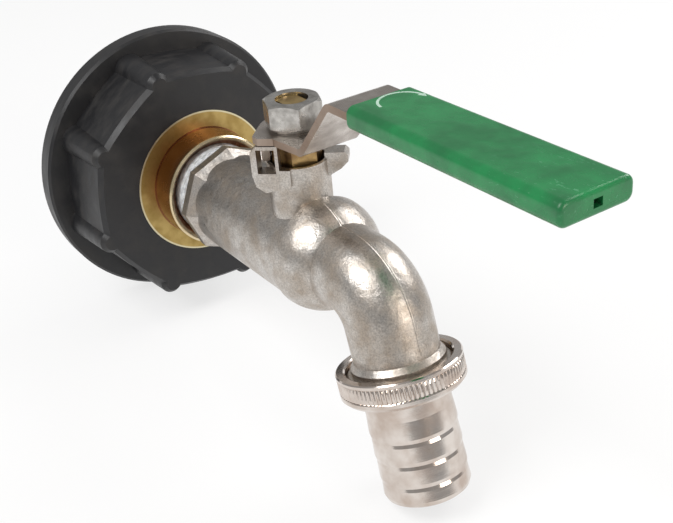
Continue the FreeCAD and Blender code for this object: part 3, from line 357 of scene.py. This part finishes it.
wornBy = {
    "tank_cap": plastic, "tank_gasket": rubber, "cap_insert": insertBrass, "insert_o_ring": rubber,
    "insert_lock_nut": innerBrass, "thread_tape": tapePlastic, "valve_body": castMetal,
    "seat_retainer": innerBrass, "inlet_seat": seatPlastic, "outlet_seat": seatPlastic, "ball": polished,
    "stem": stemBrass, "stem_thrust_washer": seatPlastic, "stem_o_rings": rubber, "packing_ring": seatPlastic,
    "gland_nut": glandBrass, "lever": stainless, "lever_washer": zinc, "lever_nut": zinc,
    "lever_sleeve": vinyl, "hose_nut": polished, "hose_tail": polished, "hose_gasket": rubber,
}
for name, material in wornBy.items():
    shape = nodes[name].data
    shape.materials.clear()
    shape.materials.append(material)
print("materials assigned to", len(wornBy), "nodes")


def makeMesh(name, points, faces, material, smoothAngle=35):
    shape = bpy.data.meshes.new(name)
    shape.from_pydata(points.reshape(-1, 3).tolist(), [], faces)
    shape.materials.append(material)
    shape.polygons.foreach_set("use_smooth", np.ones(len(shape.polygons), dtype=bool))
    shape.set_sharp_from_angle(angle=math.radians(smoothAngle))
    shape.validate()
    piece = bpy.data.objects.new(name, shape)
    bpy.context.scene.collection.objects.link(piece)
    return piece


def gridFaces(rows, columns, wrapRows=False, wrapColumns=False, flip=False):
    # quad (i, j) joins rows i and i + 1, columns j and j + 1, counted round where a side wraps
    i, j = np.meshgrid(np.arange(rows if wrapRows else rows - 1),
                       np.arange(columns if wrapColumns else columns - 1), indexing="ij")
    nextRow, nextColumn = (i + 1) % rows, (j + 1) % columns
    quads = np.stack([i * columns + j, i * columns + nextColumn, nextRow * columns + nextColumn,
                      nextRow * columns + j], axis=-1).reshape(-1, 4)
    return (quads[:, ::-1] if flip else quads).tolist()


def lathed(profile, turns, origin, axis, side):
    # a grid of rows (profile) by columns (angle): origin + axis * t + r * (cos a * side + sin a * third)
    axis, side = np.array(axis, float), np.array(side, float)
    third = np.cross(axis, side)
    radius, place = profile
    return (np.array(origin) + place[..., None] * axis
            + (radius * np.cos(turns))[..., None] * side + (radius * np.sin(turns))[..., None] * third)


def densify(outline, step):
    # straight runs between the outline's corners, cut into pieces no longer than step
    made = []
    for start, end in zip(outline, outline[1:] + outline[:1]):
        start, end = np.array(start, float), np.array(end, float)
        count = max(1, int(np.ceil(np.linalg.norm(end - start) / step)))
        made.append(start + (end - start) * (np.arange(count) / count)[:, None])
    return np.concatenate(made)


def unionNut():
    # turned nut with a straight knurl; its outline is (radius, distance down the outlet) in mm
    look = {"ribs": 84, "depth": 0.33, "bandFrom": 1.25, "bandTo": 4.75, "rim": 15.6, "sunk": 0.3,
            "step": 1.2, "pointsPerRib": 8, "raise": 0.12, "fade": 0.3}
    rim, band = look["rim"], look["rim"] - look["sunk"]
    outline = [(13.6, 0.0), (15.3, 0.0), (rim, 0.3), (rim, 0.95), (rim - 0.12, 1.15), (band, 1.25),
               (band, 1.6), (band, 4.4), (band, 4.75), (rim - 0.12, 4.85), (rim, 5.05), (rim, 5.9),
               (14.85, 6.75), (14.5, 6.8), (11.3, 6.8), (11.3, 5.9), (13.2, 5.9), (13.2, 0.4)]
    outline = densify(outline, look["step"])
    turns = np.linspace(0, 2 * math.pi, look["ribs"] * look["pointsPerRib"], endpoint=False)[None, :]
    radius = np.repeat(outline[:, :1], turns.shape[1], axis=1)
    near = 0.01
    inBand = np.abs(outline[:, 0] - band) < near
    inBand &= outline[:, 1] >= look["bandFrom"] - near
    inBand &= outline[:, 1] <= look["bandTo"] + near
    # rib profile: a flattened wave, clipped so that crests are narrow flats
    wave = np.clip(1.25 * np.cos(look["ribs"] * turns), -1, 0.85)
    ends = np.minimum(outline[:, 1] - look["bandFrom"], look["bandTo"] - outline[:, 1])
    ends = ends.clip(0, look["fade"]) / look["fade"]
    rib = (look["raise"] + 0.5 * look["depth"] * wave) * (0.35 + 0.65 * ends[:, None])
    radius += np.where(inBand[:, None], rib, 0.0)
    place = np.repeat(outline[:, 1:], turns.shape[1], axis=1)
    points = lathed((radius * mm, place * mm), turns, outletPlace, outletAxis, outletSide)
    return makeMesh("unionNut", points, gridFaces(*radius.shape, True, True), polished, 28)


nut = unionNut()
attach(nut, "hose_nut")
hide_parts("hose_nut")
print("union nut", len(nut.data.polygons), "faces")


def woundTape():
    # sealing tape on the inlet thread: wound tight under the insert, loose and wrinkled past it
    look = {"from": 22.2, "to": 40.1, "inner": 12.8, "outer": 13.24, "loose": 0.55, "looseFrom": 35.2,
            "pitch": 1.814, "threadShows": 0.12, "wrinkles": 26, "rows": 90, "columns": 320}
    random = np.random.default_rng(7)
    places = np.linspace(look["from"], look["to"], look["rows"])
    turns = np.linspace(0, 2 * math.pi, look["columns"], endpoint=False)
    across, around = np.meshgrid(places, turns, indexing="ij")
    folds = np.zeros_like(across)
    for _ in range(look["wrinkles"]):
        count, length = random.integers(3, 26), random.uniform(0.6, 2.4)
        height = random.uniform(0.4, 1.0)
        folds += height * np.sin(count * around + 2 * math.pi * across / length + random.uniform(0, 6.3))
    folds /= np.abs(folds).max()
    slack = np.clip((across - look["looseFrom"]) / 0.8, 0, 1) * np.clip((look["to"] - across) / 0.3, 0, 1)
    # thread form under the tape: cos(2 pi x / pitch - angle)
    thread = 0.5 + 0.5 * np.cos(2 * math.pi * across / look["pitch"] - around)
    outer = look["outer"] - look["threadShows"] + look["threadShows"] * thread * (1 - slack)
    outer += slack * look["loose"] * (0.25 + 0.45 * thread + 0.3 * folds)
    end = np.full((1, len(turns)), look["inner"])
    radius = np.concatenate([end, outer, end])
    place = np.concatenate([across[:1], across, across[-1:]])
    points = lathed((radius * mm, place * mm), around[:1], (0, 0, 0), (1, 0, 0), (0, 1, 0))
    return makeMesh("woundTape", points, gridFaces(*radius.shape, True, True), tapePlastic, 50)


tape = woundTape()
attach(tape, "valve")
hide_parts("thread_tape")
print("tape", len(tape.data.polygons), "faces")


def coarseThread():
    # one ridge inside the cap: rows follow the helix, columns the four-point tooth, which fades at both ends
    look = {"turns": 1.45, "rowsPerTurn": 120, "from": 2.2, "pitch": 6.0, "radius": 29.6, "depth": 1.1,
            "sunk": 0.25, "foot": 1.9, "crest": 0.7}
    turns = np.linspace(0, look["turns"] * 2 * math.pi, int(look["turns"] * look["rowsPerTurn"]))
    fade = np.clip(np.minimum(turns, turns[-1] - turns) / (math.pi / 2), 0.02, 1)[:, None]
    along = np.array([-look["foot"], -look["crest"], look["crest"], look["foot"]])
    inward = np.array([-look["sunk"], look["depth"], look["depth"], -look["sunk"]])
    place = look["from"] + look["pitch"] * turns[:, None] / (2 * math.pi) + along * fade
    radius = look["radius"] - np.where(inward > 0, inward * fade, inward)
    points = lathed((radius * mm, place * mm), turns[:, None], (0, 0, 0), (1, 0, 0), (0, 1, 0))
    faces = gridFaces(len(turns), 4, wrapColumns=True)
    last = (len(turns) - 1) * 4
    faces += [[0, 1, 2, 3], [last + 3, last + 2, last + 1, last]]
    return makeMesh("capThread", points, faces, plastic, 30)


capThread = coarseThread()
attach(capThread, "valve")
print("cap thread", len(capThread.data.polygons), "faces")


def partingRidge():
    # low ridge left by the casting mould in the plane y = 0: over the dome, round the bend, down the spout
    look = {"half": 0.5, "height": 0.17, "sunk": 0.12, "bend": (103.98, -9.5), "from": 89.4, "low": -2.1,
            "above": 40.0, "away": 60, "beside": 0.01, "fade": 3}
    starts = [((x, look["above"]), (0.0, -1.0)) for x in np.linspace(look["from"], look["bend"][0], 26)]
    for angle in np.radians(np.linspace(88, 16, 46)):
        outward = np.array([math.cos(angle), math.sin(angle)])
        starts.append((tuple(np.array(look["bend"]) + look["away"] * outward), tuple(-outward)))
    down = outletAxis[[0, 2]]
    outward = np.array([math.cos(outletTilt), math.sin(outletTilt)])
    for t in np.linspace(-9.6, look["low"], 14):
        start = outletPlace[[0, 2]] / mm + t * down + look["away"] * outward
        starts.append((tuple(start), tuple(-outward)))
    # rays from outside find the casting's surface; the ridge is a low arch swept along those spots
    path, lift = [], []
    for (x, z), (dx, dz) in starts:
        origin = Vector((x * mm, look["beside"] * mm, z * mm))
        hit, spot, _, _ = nodes["valve_body"].ray_cast(origin, Vector((dx, 0.0, dz)))
        if hit:
            path.append(spot[:])
            lift.append((-dx, 0.0, -dz))
    path, lift = np.array(path), np.array(lift)
    steps = np.arange(len(path))
    fade = np.clip(np.minimum(steps, len(path) - 1 - steps) / look["fade"], 0, 1)
    section = np.array([[-1.0, 0.0], [-0.6, 0.75], [0.0, 1.0], [0.6, 0.75], [1.0, 0.0]])
    height = section[None, :, 1] * fade[:, None] * (look["height"] + look["sunk"]) - look["sunk"]
    across = np.array([0.0, 1.0, 0.0]) * (section[None, :, :1] * look["half"] * mm)
    points = path[:, None, :] + lift[:, None, :] * (height * mm)[..., None] + across
    faces = gridFaces(len(path), 5, wrapColumns=True)
    last = (len(path) - 1) * 5
    faces += [[4, 3, 2, 1, 0], [last + k for k in range(5)]]
    return makeMesh("partingRidge", points, faces, castMetal, 60)


ridge = partingRidge()
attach(ridge, "valve")
print("parting ridge", len(ridge.data.polygons), "faces")


def splitWasher():
    # spring washer under the lever nut, cut through on a slant
    look = {"inner": 4.15, "outer": 6.2, "low": 33.0, "high": 33.7, "corner": 0.08, "gap": 14, "slant": 5,
            "at": 150, "rows": 110}
    corner = look["corner"]
    outline = np.array([(look["inner"], look["low"] + corner), (look["inner"] + corner, look["low"]),
                        (look["outer"] - corner, look["low"]), (look["outer"], look["low"] + corner),
                        (look["outer"], look["high"] - corner), (look["outer"] - corner, look["high"]),
                        (look["inner"] + corner, look["high"]), (look["inner"], look["high"] - corner)])
    turns = np.radians(np.linspace(look["gap"] / 2, 360 - look["gap"] / 2, look["rows"]) + look["at"])
    # each end leans by the slant angle from bottom to top
    lean = (outline[:, 1] - look["low"]) / (look["high"] - look["low"]) - 0.5
    angle = turns[:, None] + math.radians(look["slant"]) * lean[None, :]
    radius = np.repeat(outline[None, :, 0], len(turns), axis=0)
    place = np.repeat(outline[None, :, 1], len(turns), axis=0)
    points = lathed((radius * mm, place * mm), angle, (stemPlace, 0, 0), (0, 0, 1), (1, 0, 0))
    faces = gridFaces(len(turns), 8, wrapColumns=True, flip=True)
    last = (len(turns) - 1) * 8
    faces += [list(range(8)), [last + k for k in range(8)][::-1]]
    return makeMesh("splitWasher", points, faces, zinc, 30)


washer = splitWasher()
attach(washer, "lever_and_stem")
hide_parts("lever_washer")
print("split washer", len(washer.data.polygons), "faces")


def studioFloor():
    # rests under the cap's flange and the end of the hose tail: z = low - slope * (x - from)
    look = {"half": 2.2, "rows": 40, "low": -40.05 * mm, "from": 5.6 * mm, "slope": 0.1075,
            "colour": "#f4f4f4", "grain": 1.2 * mm, "grainHeight": 0.01 * mm, "lift": 0.72}
    ticks = np.linspace(-look["half"], look["half"], look["rows"])
    across, along = np.meshgrid(ticks, ticks, indexing="ij")
    height = look["low"] - look["slope"] * (along - look["from"])
    points = np.stack([along, across, height], axis=-1)
    material, tree = newTree("paperSweep")
    coords, _ = objectCoords(tree)
    grain = noiseAt(tree, coords, look["grain"], 2.0)
    paper = addNode(tree, "BsdfDiffuse", {"Color": linear(look["colour"])},
                    {"Normal": bumpChain(tree, [(grain, look["grainHeight"], 0.3)])})
    glow = addNode(tree, "Emission", {"Color": (1, 1, 1, 1), "Strength": 1.0})
    # camera, glossy and transmission rays see the paper mixed with plain white; diffuse rays see only paper
    path = addNode(tree, "LightPath").outputs
    seen = maths(tree, "MAXIMUM", path["Is Glossy Ray"], path["Is Transmission Ray"])
    seen = maths(tree, "MAXIMUM", path["Is Camera Ray"], seen)
    mixed = addNode(tree, "MixShader", links={0: maths(tree, "MULTIPLY", seen, look["lift"]),
                                              1: paper.outputs[0], 2: glow.outputs[0]})
    addNode(tree, "OutputMaterial", links={"Surface": mixed.outputs[0]})
    return makeMesh("studioFloor", points, gridFaces(look["rows"], look["rows"]), material)


studioFloor()


def lamp(name, place, aim, size, power, tone="#ffffff"):
    data = bpy.data.lights.new(name, "AREA")
    data.shape = "SQUARE"
    data.size = size
    data.energy = power
    data.color = linear(tone)[:3]
    item = bpy.data.objects.new(name, data)
    item.location = place
    item.rotation_euler = (Vector(aim) - Vector(place)).to_track_quat("-Z", "Y").to_euler()
    bpy.context.scene.collection.objects.link(item)


middle = (0.09, 0.0, 0.0)
lamp("keyLamp", (0.10, -0.42, 0.55), middle, 0.38, 3.3)
lamp("rearLamp", (0.12, 0.55, 0.38), middle, 0.30, 1.8)
lamp("sideLamp", (0.62, 0.12, 0.16), middle, 0.26, 1.1, "#fff6ec")


def studioWorld():
    # plain pale light all round, and white where the camera sees it
    look = {"colour": "#f2f2f2", "strength": 0.42}
    world = bpy.data.worlds.new("studio")
    bpy.context.scene.world = world
    world.use_nodes = True
    tree = world.node_tree
    tree.nodes.clear()
    path = addNode(tree, "LightPath").outputs
    plain = addNode(tree, "Background", {"Color": linear(look["colour"]), "Strength": look["strength"]})
    white = addNode(tree, "Background", {"Color": (1, 1, 1, 1), "Strength": 1.0})
    seen = maths(tree, "MAXIMUM", path["Is Camera Ray"], path["Is Transmission Ray"])
    mixed = addNode(tree, "MixShader", links={0: seen, 1: plain.outputs[0], 2: white.outputs[0]})
    addNode(tree, "OutputWorld", links={"Surface": mixed.outputs[0]})


studioWorld()


def matchCamera():
    # back = (sin a cos e, -cos a cos e, sin e); right and up are then turned by the roll
    look = {"azimuth": 57.744, "elevation": 30.44, "roll": -5.061, "place": (0.2952, -0.1244, 0.1308),
            "sensor": 36.0, "lens": 58.607, "shift": (-0.01801, 0.04623), "near": 0.01, "far": 20.0}
    a, e, r = (math.radians(look[k]) for k in ("azimuth", "elevation", "roll"))
    back = Vector((math.sin(a) * math.cos(e), -math.cos(a) * math.cos(e), math.sin(e)))
    right = Vector((math.cos(a), math.sin(a), 0))
    up = back.cross(right)
    across = math.cos(r) * right + math.sin(r) * up
    upward = math.cos(r) * up - math.sin(r) * right
    data = bpy.data.cameras.new("camera")
    data.sensor_width = look["sensor"]
    data.lens = look["lens"]
    data.shift_x, data.shift_y = look["shift"]
    data.clip_start = look["near"]
    data.clip_end = look["far"]
    item = bpy.data.objects.new("camera", data)
    turned = Matrix((across, upward, back)).transposed().to_4x4()
    item.matrix_world = Matrix.Translation(Vector(look["place"])) @ turned
    bpy.context.scene.collection.objects.link(item)
    bpy.context.scene.camera = item


matchCamera()
bpy.context.scene.view_settings.view_transform = "Standard"
print("stage ready")

bpy.context.view_layer.update()
